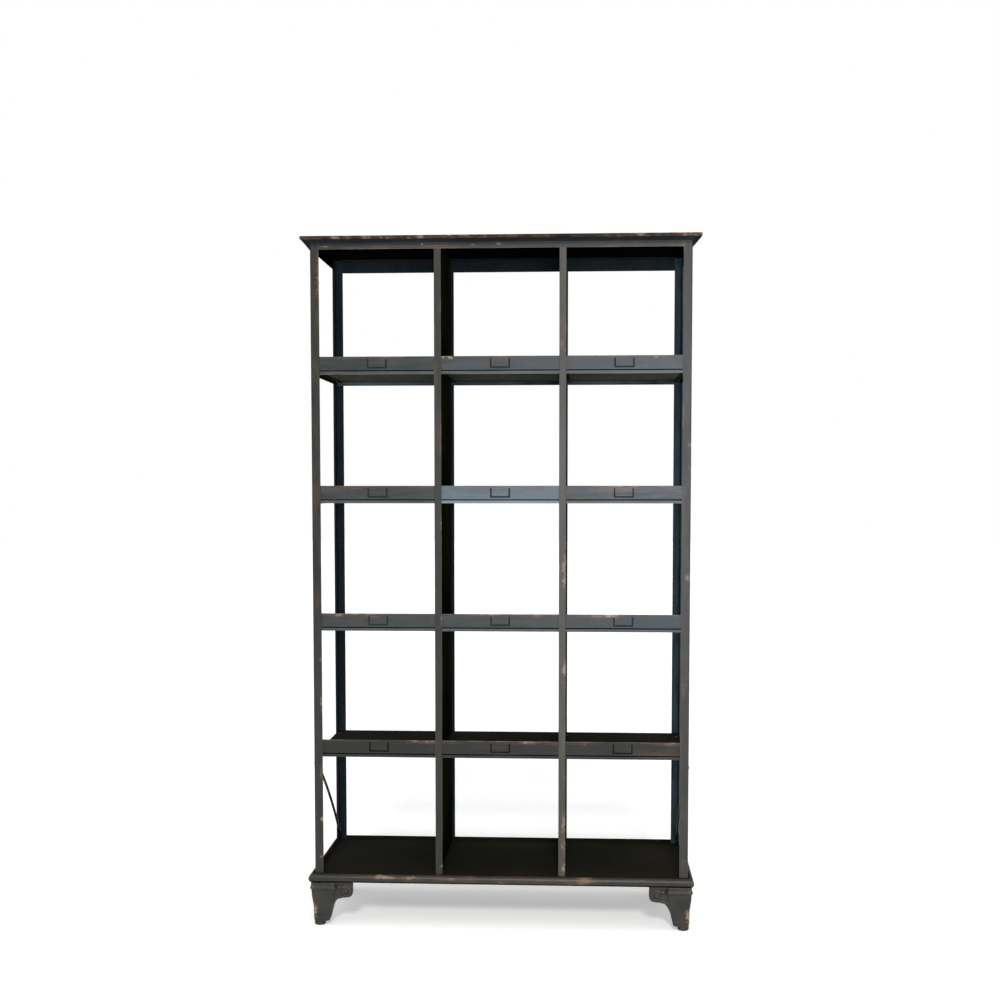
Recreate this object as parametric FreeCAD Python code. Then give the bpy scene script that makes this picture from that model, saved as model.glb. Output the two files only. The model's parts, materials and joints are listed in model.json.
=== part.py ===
import FreeCAD, Part
import math
import os

from FreeCAD import Vector

# Open steel pigeon-hole shelf: three bays wide, four shelf levels, on four cast corner feet.
# Millimetres. X runs along the width, the front faces -Y, Z is up.
# The origin is on the floor, under the middle of the whole object's box.

# Driving dimensions: bays and levels
end_bay_width = 331.5        # clear width of an end bay, between post and divider bar
middle_bay_width = 339.0     # clear width of the middle bay, between the divider bars
body_depth = 400.0           # outside of the front posts to outside of the back posts
bottom_bay_height = 355.0    # base floor to the floor of the lowest shelf
shelf_pitch = 371.0          # floor to floor between shelves
top_bay_height = 378.0       # floor of the highest shelf to the ceiling
bay_names = ["left", "middle", "right"]
level_count = 4

# Frame of angles and flat bars
frame_wall = 3.0             # thickness of posts, rails and divider bars
post_leg = 25.0              # front or back leg of the corner post angles
post_depth = 45.0            # side leg of the corner post angles
bend_round = 3.0             # outer rounding of the folded angles
bar_edge_round = 0.8         # eased edges of flat bars
divider_bar_width = 20.0
divider_sheet = 1.5
top_rail_leg = 20.0          # flat leg of the top rails, under the ceiling
front_rail_height = 32.0
side_rail_height = 32.0
back_rail_height = 39.0

# Cap and cornice
cap_sheet = 2.0
cap_height = 10.0            # height of the folded cap edge
cap_overhang = 25.0          # in front, and past the posts at both ends of the front edge
cap_ear = 31.0               # depth of the front edge, where it runs past the posts
cap_edge_round = 3.0
cornice_height = 7.0
cornice_reach = 20.0
cornice_foot = 3.0           # thickness of the moulding at its lower edge
cornice_fillet = 2.0         # thickness of the moulding at its outer edge
cornice_cove = 4.0           # radius of the hollow
bracket_reach = 23.0         # bracket under an end of the front edge, along the width
bracket_drop = 27.0          # its height on the side of the post

# Base
base_sheet = 2.0
base_height = 26.0
base_overhang = 17.0         # in front and at both sides
base_nose_flat = 2.0         # upright band between the two roundings of the base edge
base_flange = 85.0           # inward return under the base, where the feet are fixed
base_back_bar_height = 12.0
base_side_bar_height = 15.0

# Shelf trays and what carries them
tray_sheet = 1.5
tray_bend = 4.0              # outer radius of the fold between floor and lip
lip_height = 41.0            # lip above the tray floor
lip_hem = 8.0                # depth of the doubled edge along the top of the lip
front_bar_height = 8.0       # bar under the front edge of a tray
front_bar_seat = 2.0         # how far it bears on the flat of the tray, behind the fold
back_bar_height = 12.0       # flat bar under the back edge of a tray
shelf_rail_leg = 20.0        # angles under the trays at the open sides
shelf_rail_drop = 10.0       # how far these angles hang below the trays
ledge_leg = 15.0             # angles under the trays at the dividers
ledge_wall = 2.0
fit_gap = 0.5                # play between a tray and what stands around it

# Label holders on the lips
holder_width = 57.0
holder_height = 27.0
holder_depth = 2.4
holder_above_floor = 7.0
holder_wall = 1.0            # rim at the ends and the bottom
holder_back = 0.8            # back sheet
card_slot = 0.8              # room for the card
holder_frame = 4.0           # width of the frame seen from the front

# Side braces
brace_rod_radius = 4.0
brace_bow = 16.0             # how far the rod bows upward from a straight line
brace_eye_radius = 8.0
brace_eye_thick = 4.0
brace_eye_inset = 14.0       # eye centre from the outside of the post
brace_top_gap = 13.0         # eye below the side rail
brace_foot_gap = 5.0         # eye above the base floor
brace_rod_gap = 0.2          # rod clear of the post

# Rivets
rivet_radius = 2.0
rivet_head_radius = 3.5
rivet_head_height = 1.6
rivet_inset = 60.0           # from the front and back of a tray
brace_rivet_radius = 3.0
brace_rivet_head_radius = 5.5
brace_rivet_head_height = 2.5
rivet_play = 0.1
rivet_crown = 0.55           # flat crown of a rivet head, as a share of the head

# Cast corner feet, measured from the outer corner of the base
foot_height = 130.0
foot_inset = 2.5             # collar behind the edge of the base
foot_collar = 20.0           # height of the collar under the base
foot_collar_step = 3.0       # collar proud of the leg
foot_leg_top = 69.5          # width of the leg under the collar
foot_leg_low = 46.0          # width of the leg above the toe
foot_batter = 6.5            # outer face drawn in between top and bottom
foot_bend = 0.45             # share of the shorter run beside it that a curve of the leg takes up
foot_shoulder = 14.0         # straight part of the outer face under the collar
foot_ankle = 41.0            # straight part of the outer face above the toe
foot_inner_shoulder = 29.0   # straight part of the inner face under the collar
toe_radius = 16.5
toe_height = 11.0
wing_reach = 127.5           # outer face of the collar to the end of a wing
wing_drop = 46.0             # height of a wing under the base
wing_thick = 10.0
wing_setback = 2.0           # wing behind the outer face of the leg
wing_end_height = 34.0       # upright end of a wing
wing_taper = 8.0             # slope at the end of a wing
wing_round = 6.0
wing_heel = 12.0             # how far a wing runs down the leg
wing_overlap = 8.0           # wing cast into the leg
boss_radius = 9.0
boss_inset = 24.0            # centre of the boss from the end of a wing
boss_drop = 30.0             # centre of the boss under the base
boss_proud = 2.5
bud_radius = 5.0
bud_drop = 14.0              # centre of the bud under the base
bud_gap = 9.0                # bud clear of the leg
bud_proud = 2.0
stud_radius = 6.0
stud_length = 46.0
stud_in_foot = 30.0
stud_play = 0.2
nut_across_corners = 22.0
nut_height = 10.0

overshoot = 1.0              # how far a cut runs past the face it opens

# Places worked out from the dimensions above
bay_count = len(bay_names)
body_width = 2 * end_bay_width + middle_bay_width + 2 * divider_bar_width + 2 * post_leg
side_x = body_width / 2
front_y = -(body_depth + cap_overhang) / 2 + cap_overhang
back_y = front_y + body_depth
base_top = foot_height + base_height
lowest_floor = base_top + bottom_bay_height
floors = [lowest_floor + (level_count - 1 - i) * shelf_pitch for i in range(level_count)]
ceiling = floors[0] + top_bay_height
overall_height = ceiling + cap_sheet
cap_bottom = overall_height - cap_height
ear_back = front_y - cap_overhang + cap_ear
front_rail_bottom = ceiling - front_rail_height
back_rail_bottom = ceiling - back_rail_height
tray_front = front_y + frame_wall + fit_gap
tray_back = back_y - frame_wall - fit_gap
rail_front = tray_front + tray_bend + front_bar_seat
rail_back = tray_back - frame_wall
rivet_rows = [tray_front + rivet_inset, tray_back - rivet_inset]
divider_half_step = (middle_bay_width + divider_bar_width) / 2
divider_x = [-divider_half_step, divider_half_step]
bay_step = (end_bay_width + middle_bay_width) / 2 + divider_bar_width
bay_middles = [(i - (bay_count - 1) / 2) * bay_step for i in range(bay_count)]
post_inner_x = side_x - post_leg
brace_face_x = side_x - frame_wall
brace_front_y = front_y + brace_eye_inset
brace_back_y = back_y - brace_eye_inset
shelf_rail_bottom = lowest_floor - tray_sheet - shelf_rail_drop
brace_top_z = shelf_rail_bottom - brace_top_gap - brace_eye_radius
brace_foot_z = base_top + brace_foot_gap + brace_eye_radius
leg_outer = foot_inset + foot_collar_step
stud_inset = leg_outer + foot_leg_top / 2
base_corner_x = side_x + base_overhang
base_front_y = front_y - base_overhang
base_nose = (base_height - base_nose_flat) / 2


def box(x0, x1, y0, y1, z0, z1):
    return Part.makeBox(x1 - x0, y1 - y0, z1 - z0, Vector(x0, y0, z0))


def rounded_corner(before, corner, after, radius):
    to_before = (before - corner).normalize()
    to_after = (after - corner).normalize()
    half = to_before.getAngle(to_after) / 2
    start = corner + to_before * (radius / math.tan(half))
    end = corner + to_after * (radius / math.tan(half))
    middle_way = (to_before + to_after).normalize()
    middle = corner + middle_way * (radius / math.sin(half) - radius)
    return start, middle, end


# Corners are (a, b, rounding) in the plane across the given axis:
# along X they are (y, z), along Y (x, z), along Z (x, y).
def extruded(axis, corners, start, end):
    places = {
        "X": lambda a, b: Vector(start, a, b),
        "Y": lambda a, b: Vector(a, start, b),
        "Z": lambda a, b: Vector(a, b, start),
    }
    ways = {"X": Vector(1, 0, 0), "Y": Vector(0, 1, 0), "Z": Vector(0, 0, 1)}
    points = [places[axis](a, b) for a, b, radius in corners]
    edges = []
    pen = None
    first = None
    for i, (a, b, radius) in enumerate(corners):
        corner = points[i]
        arc = None
        entry = corner
        leave = corner
        if radius > 0:
            before = points[i - 1]
            after = points[(i + 1) % len(points)]
            arc = rounded_corner(before, corner, after, radius)
            entry = arc[0]
            leave = arc[2]
        if pen is None:
            first = entry
        elif pen.distanceToPoint(entry) > 1e-6:
            edges.append(Part.LineSegment(pen, entry).toShape())
        if arc:
            edges.append(Part.Arc(*arc).toShape())
        pen = leave
    if pen.distanceToPoint(first) > 1e-6:
        edges.append(Part.LineSegment(pen, first).toShape())
    return Part.Face(Part.Wire(edges)).extrude(ways[axis] * (end - start))


# A folded angle: its outer corner is at (a, b), the legs run in the directions of their signs.
def angle_corners(a, b, leg_a, leg_b, wall, rounding):
    sign_a = math.copysign(1, leg_a)
    sign_b = math.copysign(1, leg_b)
    inner = max(rounding - wall, 0)
    return [
        (a, b, rounding),
        (a + leg_a, b, 0),
        (a + leg_a, b + sign_b * wall, 0),
        (a + sign_a * wall, b + sign_b * wall, inner),
        (a + sign_a * wall, b + leg_b, 0),
        (a, b + leg_b, 0),
    ]


def bar_corners(a0, a1, b0, b1, rounding):
    return [(a0, b0, rounding), (a1, b0, rounding), (a1, b1, 0), (a0, b1, 0)]


def mirrored_x(shape):
    return shape.mirror(Vector(0, 0, 0), Vector(1, 0, 0))


def hole(point, way, radius, length):
    return Part.makeCylinder(radius, length, point, way)


# A rivet from its set tail to its domed head: the head sits on point, the shank runs against way.
def rivet(point, way, radius, head_radius, head_height, grip):
    shank = Part.makeCylinder(radius, grip, point - way * grip, way)
    crown = head_radius * rivet_crown
    dome = Part.makeCone(head_radius, crown, head_height, point, way)
    tail = Part.makeCone(crown, head_radius, head_height, point - way * (grip + head_height), way)
    return shank.fuse(dome).fuse(tail).removeSplitter()


pieces = {}

# Supports of each bay: the faces that a tray lies between, and what its two ends rest on.
outer_face = side_x - frame_wall
bay_faces = []
for i in range(bay_count):
    left_face = -outer_face if i == 0 else divider_x[i - 1] + divider_sheet / 2
    right_face = outer_face if i == bay_count - 1 else divider_x[i] - divider_sheet / 2
    bay_faces.append((left_face, right_face))


def rivet_places(bay):
    left_face, right_face = bay_faces[bay]
    left_leg = shelf_rail_leg if bay == 0 else ledge_leg
    right_leg = shelf_rail_leg if bay == bay_count - 1 else ledge_leg
    left_wall = frame_wall if bay == 0 else ledge_wall
    right_wall = frame_wall if bay == bay_count - 1 else ledge_wall
    places = []
    for y in rivet_rows:
        places.append((left_face + (left_leg + left_wall) / 2, y, left_wall))
        places.append((right_face - (right_leg + right_wall) / 2, y, right_wall))
    return places


def rivet_holes(floor):
    holes = []
    for bay in range(bay_count):
        for x, y, wall in rivet_places(bay):
            depth = tray_sheet + max(frame_wall, ledge_wall)
            start = Vector(x, y, floor - depth - fit_gap)
            holes.append(hole(start, Vector(0, 0, 1), rivet_radius + rivet_play, depth + 2 * fit_gap))
    return Part.makeCompound(holes)


# A slab with its front and side edges rounded above and below, and a plain back
def nosed_slab(half_width, front, back, low, high, rounding):
    slab = box(-half_width, half_width, front, back, low, high)
    edges = []
    for edge in slab.Edges:
        upright = abs(edge.tangentAt(edge.FirstParameter).z) > 0.5
        at_back = math.isclose(edge.CenterOfMass.y, back, abs_tol=1e-6)
        if not upright and not at_back:
            edges.append(edge)
    return slab.makeFillet(rounding, edges)


# Cap: a sheet lid flush with the sides, folded along the front into a hollow edge longer than the body
def cap():
    x = side_x + cap_overhang
    y = front_y - cap_overhang
    lid = nosed_slab(x, y, back_y, cap_bottom, overall_height, cap_edge_round)
    beside = box(
        side_x, x + overshoot, ear_back, back_y + overshoot,
        cap_bottom - overshoot, overall_height + overshoot,
    )
    hollow = box(
        -x + cap_sheet, x - cap_sheet, y + cap_sheet, ear_back - cap_sheet,
        cap_bottom + cap_sheet, overall_height - cap_sheet,
    )
    mouth = box(
        -side_x - fit_gap, side_x + fit_gap, front_y - fit_gap, back_y + overshoot,
        cap_bottom - overshoot, overall_height - cap_sheet,
    )
    return lid.cut(beside).cut(mirrored_x(beside)).cut(hollow).cut(mouth)


# Cornice: a hollow moulding under the front edge of the cap, its ends cut at 45 degrees
def cornice():
    low = cap_bottom - cornice_height
    lip = cap_bottom - cornice_fillet
    out_x = side_x + cornice_reach
    out_y = front_y - cornice_reach
    profile = [
        (front_y, low, 0),
        (front_y - cornice_foot, low, 0),
        (front_y - cornice_foot, lip, cornice_cove),
        (out_y, lip, 0),
        (out_y, cap_bottom, 0),
        (front_y, cap_bottom, 0),
    ]
    plan = [(-side_x, front_y, 0), (side_x, front_y, 0), (out_x, out_y, 0), (-out_x, out_y, 0)]
    ends = extruded("Z", plan, low - overshoot, cap_bottom + overshoot)
    return extruded("X", profile, -out_x, out_x).common(ends)


pieces["top_plate"] = cap()
pieces["front_cornice"] = cornice()
bracket = [
    (-side_x, cap_bottom - bracket_drop, 0),
    (-side_x, cap_bottom, 0),
    (-side_x - bracket_reach, cap_bottom, 0),
]
bracket_front = front_y + bend_round
pieces["left_cap_bracket"] = extruded("Y", bracket, bracket_front, bracket_front + frame_wall)
pieces["right_cap_bracket"] = mirrored_x(pieces["left_cap_bracket"])

# Top rails, between the posts and flush with them
front_corners = angle_corners(front_y, ceiling, top_rail_leg, -front_rail_height, frame_wall, bar_edge_round)
pieces["front_top_rail"] = extruded("X", front_corners, -post_inner_x, post_inner_x)
back_corners = angle_corners(back_y, ceiling, -top_rail_leg, -back_rail_height, frame_wall, bar_edge_round)
pieces["back_top_rail"] = extruded("X", back_corners, -post_inner_x, post_inner_x)
side_corners = angle_corners(-side_x, ceiling, top_rail_leg, -side_rail_height, frame_wall, bar_edge_round)
pieces["left_top_rail"] = extruded("Y", side_corners, front_y + post_depth, back_y - post_depth)
pieces["right_top_rail"] = mirrored_x(pieces["left_top_rail"])


# Corner posts, with the hole for the brace rivet in the side leg
def left_post(corner_y, way, rivet_y, rivet_z):
    corners = angle_corners(-side_x, corner_y, post_leg, way * post_depth, frame_wall, bend_round)
    post = extruded("Z", corners, base_top, ceiling)
    start = Vector(-side_x - frame_wall, rivet_y, rivet_z)
    return post.cut(hole(start, Vector(1, 0, 0), brace_rivet_radius + rivet_play, 3 * frame_wall))


pieces["front_left_post"] = left_post(front_y, 1, brace_front_y, brace_top_z)
pieces["front_right_post"] = mirrored_x(pieces["front_left_post"])
pieces["back_left_post"] = left_post(back_y, -1, brace_back_y, brace_foot_z)
pieces["back_right_post"] = mirrored_x(pieces["back_left_post"])

# Dividers: a full-height sheet with a flat bar along its front and back edges
for side, x in zip(["left", "right"], divider_x):
    half_bar = divider_bar_width / 2
    half_sheet = divider_sheet / 2
    pieces[side + "_divider_panel"] = box(
        x - half_sheet, x + half_sheet, front_y + frame_wall, back_y - frame_wall,
        base_top, ceiling - frame_wall,
    )
    front_bar = bar_corners(x - half_bar, x + half_bar, front_y, front_y + frame_wall, bar_edge_round)
    pieces[side + "_divider_front_bar"] = extruded("Z", front_bar, base_top, front_rail_bottom)
    back_bar = bar_corners(x - half_bar, x + half_bar, back_y, back_y - frame_wall, bar_edge_round)
    back_bar_foot = base_top + base_back_bar_height
    pieces[side + "_divider_back_bar"] = extruded("Z", back_bar, back_bar_foot, back_rail_bottom)


# Shelf tray: floor and front lip folded from one sheet, with a hem along the top of the lip
def tray(bay, floor):
    left_face, right_face = bay_faces[bay]
    under = floor - tray_sheet
    lip_top = floor + lip_height
    inner_bend = tray_bend - tray_sheet
    corners = [
        (tray_front, lip_top, tray_sheet / 2),
        (tray_front, under, tray_bend),
        (tray_back, under, 0),
        (tray_back, floor, 0),
        (tray_front + tray_sheet, floor, inner_bend),
        (tray_front + tray_sheet, lip_top - lip_hem, 0),
        (tray_front + 2 * tray_sheet, lip_top - lip_hem, 0),
        (tray_front + 2 * tray_sheet, lip_top, tray_sheet / 2),
    ]
    sheet = extruded("X", corners, left_face + fit_gap, right_face - fit_gap)
    return sheet.cut(rivet_holes(floor))


# Label holder: a sheet pocket with a frame round three sides, open at the top for the card
def label_holder(bay, floor):
    x0 = bay_middles[bay] - holder_width / 2
    x1 = bay_middles[bay] + holder_width / 2
    z0 = floor + holder_above_floor
    z1 = z0 + holder_height
    face = tray_front - holder_depth
    body = box(x0, x1, face, tray_front, z0, z1)
    slot_back = tray_front - holder_back
    slot_front = slot_back - card_slot
    slot = box(x0 + holder_wall, x1 - holder_wall, slot_front, slot_back, z0 + holder_wall, z1 + holder_wall)
    window = box(
        x0 + holder_frame, x1 - holder_frame, face - holder_wall, slot_back,
        z0 + holder_frame, z1 + holder_wall,
    )
    return body.cut(slot).cut(window)


tray_rivets = []
left_rails = []
ledges = {"left": [], "right": []}
for level, floor in enumerate(floors):
    number = str(level + 1)
    under = floor - tray_sheet
    holes = rivet_holes(floor)
    front_bars = []
    back_bars = []
    holders = []
    for bay, name in enumerate(bay_names):
        left_face, right_face = bay_faces[bay]
        pieces["shelf_tray_" + number + "_" + name] = tray(bay, floor)
        front_low = under - front_bar_height
        front_bars.append(box(left_face, right_face, tray_front, rail_front, front_low, under))
        back_low = under - back_bar_height
        back_bars.append(box(left_face, right_face, rail_back, tray_back, back_low, under))
        holders.append(label_holder(bay, floor))
        for x, y, wall in rivet_places(bay):
            head = Vector(x, y, floor)
            grip = tray_sheet + wall
            tray_rivets.append(
                rivet(head, Vector(0, 0, 1), rivet_radius, rivet_head_radius, rivet_head_height, grip)
            )
    pieces["front_shelf_bars_" + number] = Part.makeCompound(front_bars)
    pieces["back_shelf_bars_" + number] = Part.makeCompound(back_bars)
    pieces["label_holders_" + number] = Part.makeCompound(holders)
    rail = angle_corners(-outer_face, under, shelf_rail_leg, -shelf_rail_drop, frame_wall, 0)
    left_rails.append(extruded("Y", rail, rail_front, rail_back).cut(holes))
    for side, x in zip(["left", "right"], divider_x):
        for way in (-1, 1):
            ledge = angle_corners(
                x + way * divider_sheet / 2, under, way * ledge_leg, -ledge_leg, ledge_wall, 0
            )
            ledges[side].append(extruded("Y", ledge, rail_front, rail_back).cut(holes))

pieces["left_shelf_rails"] = Part.makeCompound(left_rails)
pieces["right_shelf_rails"] = mirrored_x(pieces["left_shelf_rails"])
pieces["left_divider_ledges"] = Part.makeCompound(ledges["left"])
pieces["right_divider_ledges"] = Part.makeCompound(ledges["right"])
pieces["tray_rivets"] = Part.makeCompound(tray_rivets)


# Base: a hollow sheet pan with a rounded nosing on three sides and a return for the feet
def rounded_pan(inset):
    return nosed_slab(
        base_corner_x - inset, base_front_y + inset, back_y - inset,
        foot_height + inset, base_top - inset, base_nose - inset,
    )


foot_corners = [
    ("front_left", -base_corner_x, base_front_y, 1, 1),
    ("front_right", base_corner_x, base_front_y, -1, 1),
    ("back_left", -base_corner_x, back_y, 1, -1),
    ("back_right", base_corner_x, back_y, -1, -1),
]


def base():
    pan = rounded_pan(0).cut(rounded_pan(base_sheet))
    mouth = box(
        -base_corner_x + base_flange, base_corner_x - base_flange,
        base_front_y + base_flange, back_y - base_flange,
        foot_height - base_sheet, foot_height + 2 * base_sheet,
    )
    pan = pan.cut(mouth)
    for name, x, y, way_x, way_y in foot_corners:
        start = Vector(x + way_x * stud_inset, y + way_y * stud_inset, foot_height - base_sheet)
        pan = pan.cut(hole(start, Vector(0, 0, 1), stud_radius + stud_play, 3 * base_sheet))
    return pan


pieces["base_plate"] = base()
back_low_bar = (-post_inner_x, post_inner_x, back_y - frame_wall, back_y)
pieces["base_back_bar"] = box(*back_low_bar, base_top, base_top + base_back_bar_height)
side_low_bar = (-side_x, -side_x + frame_wall, front_y + post_depth, back_y - post_depth)
pieces["base_left_bar"] = box(*side_low_bar, base_top, base_top + base_side_bar_height)
pieces["base_right_bar"] = mirrored_x(pieces["base_left_bar"])


# Largest neat rounding of a corner of the leg, from the runs beside it
def leg_rounding(before, corner, after):
    run_in = Vector(*corner, 0) - Vector(*before, 0)
    run_out = Vector(*after, 0) - Vector(*corner, 0)
    shorter = min(run_in.Length, run_out.Length)
    return foot_bend * shorter / math.tan(run_in.getAngle(run_out) / 2)


# Cast corner foot, drawn from a base corner at the origin with both wings running to + X and + Y
def foot():
    top = foot_height - foot_collar
    low_outer = leg_outer + foot_batter
    low_inner = low_outer + foot_leg_low
    top_inner = leg_outer + foot_leg_top
    shoulder = top - foot_shoulder
    inner_shoulder = top - foot_inner_shoulder
    ankle = toe_height + foot_ankle
    points = [
        (leg_outer, top),
        (leg_outer, shoulder),
        (low_outer, ankle),
        (low_outer, toe_height),
        (low_inner, toe_height),
        (top_inner, inner_shoulder),
        (top_inner, top),
    ]
    leg = [(a, b, 0) for a, b in points]
    for i in (1, 2, 5):
        leg[i] = (*points[i], leg_rounding(*points[i - 1:i + 2]))
    wing_end = foot_inset + wing_reach
    wing_foot = foot_height - wing_drop
    wing = [
        (top_inner - wing_overlap, foot_height, 0),
        (wing_end, foot_height, 0),
        (wing_end, foot_height - wing_end_height, wing_round),
        (wing_end - wing_taper, wing_foot, wing_round),
        (top_inner + wing_overlap, wing_foot, wing_round),
        (top_inner - wing_overlap / 2, wing_foot - wing_heel, 0),
        (top_inner - wing_overlap, wing_foot - wing_heel, 0),
    ]
    wing_face = leg_outer + wing_setback
    wing_back = wing_face + wing_thick
    blank = (leg_outer - overshoot, top_inner + overshoot)
    body = extruded("Y", leg, *blank).common(extruded("X", leg, *blank))
    body = body.fuse(extruded("Y", wing, wing_face, wing_back))
    body = body.fuse(extruded("X", wing, wing_face, wing_back))
    collar_inner = top_inner + foot_collar_step
    body = body.fuse(box(foot_inset, collar_inner, foot_inset, collar_inner, top, foot_height))
    toe_at = low_outer + toe_radius
    body = body.fuse(Part.makeCylinder(toe_radius, toe_height, Vector(toe_at, toe_at, 0)))
    boss_at = wing_end - boss_inset
    boss_z = foot_height - boss_drop
    bud_at = top_inner + bud_gap + bud_radius
    bud_z = foot_height - bud_drop
    boss = (boss_at, boss_z, boss_radius, boss_proud)
    bud = (bud_at, bud_z, bud_radius, bud_proud)
    for at, z, radius, proud in (boss, bud):
        depth = proud + wing_thick / 2
        crown = wing_face - proud
        body = body.fuse(Part.makeCylinder(radius, depth, Vector(at, crown, z), Vector(0, 1, 0)))
        body = body.fuse(Part.makeCylinder(radius, depth, Vector(crown, at, z), Vector(1, 0, 0)))
    bore = Vector(stud_inset, stud_inset, foot_height - stud_in_foot - stud_play)
    body = body.cut(hole(bore, Vector(0, 0, 1), stud_radius + stud_play, stud_in_foot + overshoot))
    return body.removeSplitter()


def hexagon(x, y, z, height):
    radius = nut_across_corners / 2
    turns = [math.radians(60 * i) for i in range(6)]
    corners = [(x + radius * math.cos(t), y + radius * math.sin(t), 0) for t in turns]
    return extruded("Z", corners, z, z + height)


corner_foot = foot()
studs = []
for name, x, y, way_x, way_y in foot_corners:
    shape = corner_foot.copy()
    if way_x < 0:
        shape = mirrored_x(shape)
    if way_y < 0:
        shape = shape.mirror(Vector(0, 0, 0), Vector(0, 1, 0))
    shape.translate(Vector(x, y, 0))
    pieces[name + "_foot"] = shape
    stud_x = x + way_x * stud_inset
    stud_y = y + way_y * stud_inset
    stud_foot = Vector(stud_x, stud_y, foot_height - stud_in_foot)
    stud = Part.makeCylinder(stud_radius, stud_length, stud_foot, Vector(0, 0, 1))
    nut = hexagon(stud_x, stud_y, foot_height + base_sheet, nut_height)
    bore = hole(stud_foot, Vector(0, 0, 1), stud_radius + rivet_play, stud_length)
    studs += [stud, nut.cut(bore)]
pieces["foot_studs"] = Part.makeCompound(studs)


# Side brace: a bowed round bar with an eye at each end, riveted to the two posts of a side
def brace():
    x = -brace_face_x + brace_rod_gap + brace_rod_radius
    top = Vector(x, brace_front_y, brace_top_z)
    foot_end = Vector(x, brace_back_y, brace_foot_z)
    along = (foot_end - top).normalize()
    upward = Vector(0, -along.z, along.y)
    middle = (top + foot_end) * 0.5 + upward * brace_bow
    path = Part.Wire([Part.Arc(top, middle, foot_end).toShape()])
    start_way = path.Edges[0].tangentAt(path.Edges[0].FirstParameter)
    ring = Part.Wire([Part.makeCircle(brace_rod_radius, top, start_way)])
    rod = path.makePipeShell([ring], True, False)
    for end in (top, foot_end):
        seat = Vector(-brace_face_x, end.y, end.z)
        rod = rod.fuse(Part.makeCylinder(brace_eye_radius, brace_eye_thick, seat, Vector(1, 0, 0)))
    for end in (top, foot_end):
        clear = Vector(-brace_face_x - overshoot, end.y, end.z)
        bore_length = brace_eye_thick + 2 * brace_rod_radius
        rod = rod.cut(hole(clear, Vector(1, 0, 0), brace_rivet_radius + rivet_play, bore_length))
        spot_face = Vector(-brace_face_x + brace_eye_thick, end.y, end.z)
        rod = rod.cut(hole(spot_face, Vector(1, 0, 0), brace_eye_radius, 2 * brace_rod_radius))
    return rod


pieces["left_side_brace"] = brace()
pieces["right_side_brace"] = mirrored_x(pieces["left_side_brace"])
brace_ends = [(brace_front_y, brace_top_z), (brace_back_y, brace_foot_z)]
left_brace_rivets = Part.makeCompound([
    rivet(
        Vector(-brace_face_x + brace_eye_thick, y, z), Vector(1, 0, 0), brace_rivet_radius,
        brace_rivet_head_radius, brace_rivet_head_height, brace_eye_thick + frame_wall,
    )
    for y, z in brace_ends
])
pieces["brace_rivets"] = Part.makeCompound(left_brace_rivets.Solids + mirrored_x(left_brace_rivets).Solids)

os.makedirs("parts", exist_ok=True)
for name, shape in pieces.items():
    if not shape.isValid():
        raise ValueError(name + " is not a valid shape")
    shape.exportStep("parts/" + name + ".step")
whole = Part.makeCompound(list(pieces.values())).BoundBox
print(len(pieces), "nodes, box", [round(v, 2) for v in (whole.XLength, whole.YLength, whole.ZLength)])
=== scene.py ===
import json
import math

import bmesh
import bpy
from mathutils import Matrix, Vector


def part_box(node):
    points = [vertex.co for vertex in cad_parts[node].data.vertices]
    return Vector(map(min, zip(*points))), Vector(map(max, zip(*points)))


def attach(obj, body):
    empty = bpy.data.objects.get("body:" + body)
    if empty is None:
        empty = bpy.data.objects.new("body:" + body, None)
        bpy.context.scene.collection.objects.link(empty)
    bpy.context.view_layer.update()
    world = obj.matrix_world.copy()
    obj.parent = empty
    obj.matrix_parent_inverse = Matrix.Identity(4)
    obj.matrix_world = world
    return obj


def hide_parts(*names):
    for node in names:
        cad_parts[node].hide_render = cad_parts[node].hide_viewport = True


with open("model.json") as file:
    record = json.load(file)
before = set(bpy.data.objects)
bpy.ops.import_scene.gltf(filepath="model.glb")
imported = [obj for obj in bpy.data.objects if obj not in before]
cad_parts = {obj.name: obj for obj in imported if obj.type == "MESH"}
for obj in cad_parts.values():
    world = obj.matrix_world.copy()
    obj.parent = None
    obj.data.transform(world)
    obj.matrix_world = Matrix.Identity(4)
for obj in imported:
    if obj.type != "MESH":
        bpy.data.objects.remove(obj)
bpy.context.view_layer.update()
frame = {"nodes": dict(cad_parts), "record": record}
nodes = frame["nodes"]
mm = 0.001
print("frame loaded:", len(nodes), "nodes")


# Colours are written as sRGB hex and turned to linear here
def hexColour(text):
    values = [int(text[i:i + 2], 16) / 255 for i in (1, 3, 5)]
    linear = [v / 12.92 if v <= 0.04045 else ((v + 0.055) / 1.055) ** 2.4 for v in values]
    return (*linear, 1.0)


white = hexColour("#ffffff")


# Scale of a pattern whose marks are this many millimetres apart
def perMetre(size):
    return 1000 / size


# Adds a node, sets its sockets or properties, and links sockets to what feeds them
def addNode(tree, kind, settings=None, links=None):
    node = tree.nodes.new(kind)
    for name, value in (settings or {}).items():
        if isinstance(name, int) or name in node.inputs:
            node.inputs[name].default_value = value
        else:
            setattr(node, name, value)
    for name, source in (links or {}).items():
        tree.links.new(source, node.inputs[name])
    return node


# The colour sockets of a Mix node go by number, because their names repeat
firstColour, secondColour, mixedColour = 6, 7, 2

# Camera at the photograph's viewing angle, in metres and degrees
cameraPlan = {
    "place": (0.241, -4.1575, 1.283),
    "tiltDown": 3.5,
    "turnLeft": 3.02,
    "lens": 49.7,
    "sensor": 36.0,
    "shift": (-0.011, 0.074),
}


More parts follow.
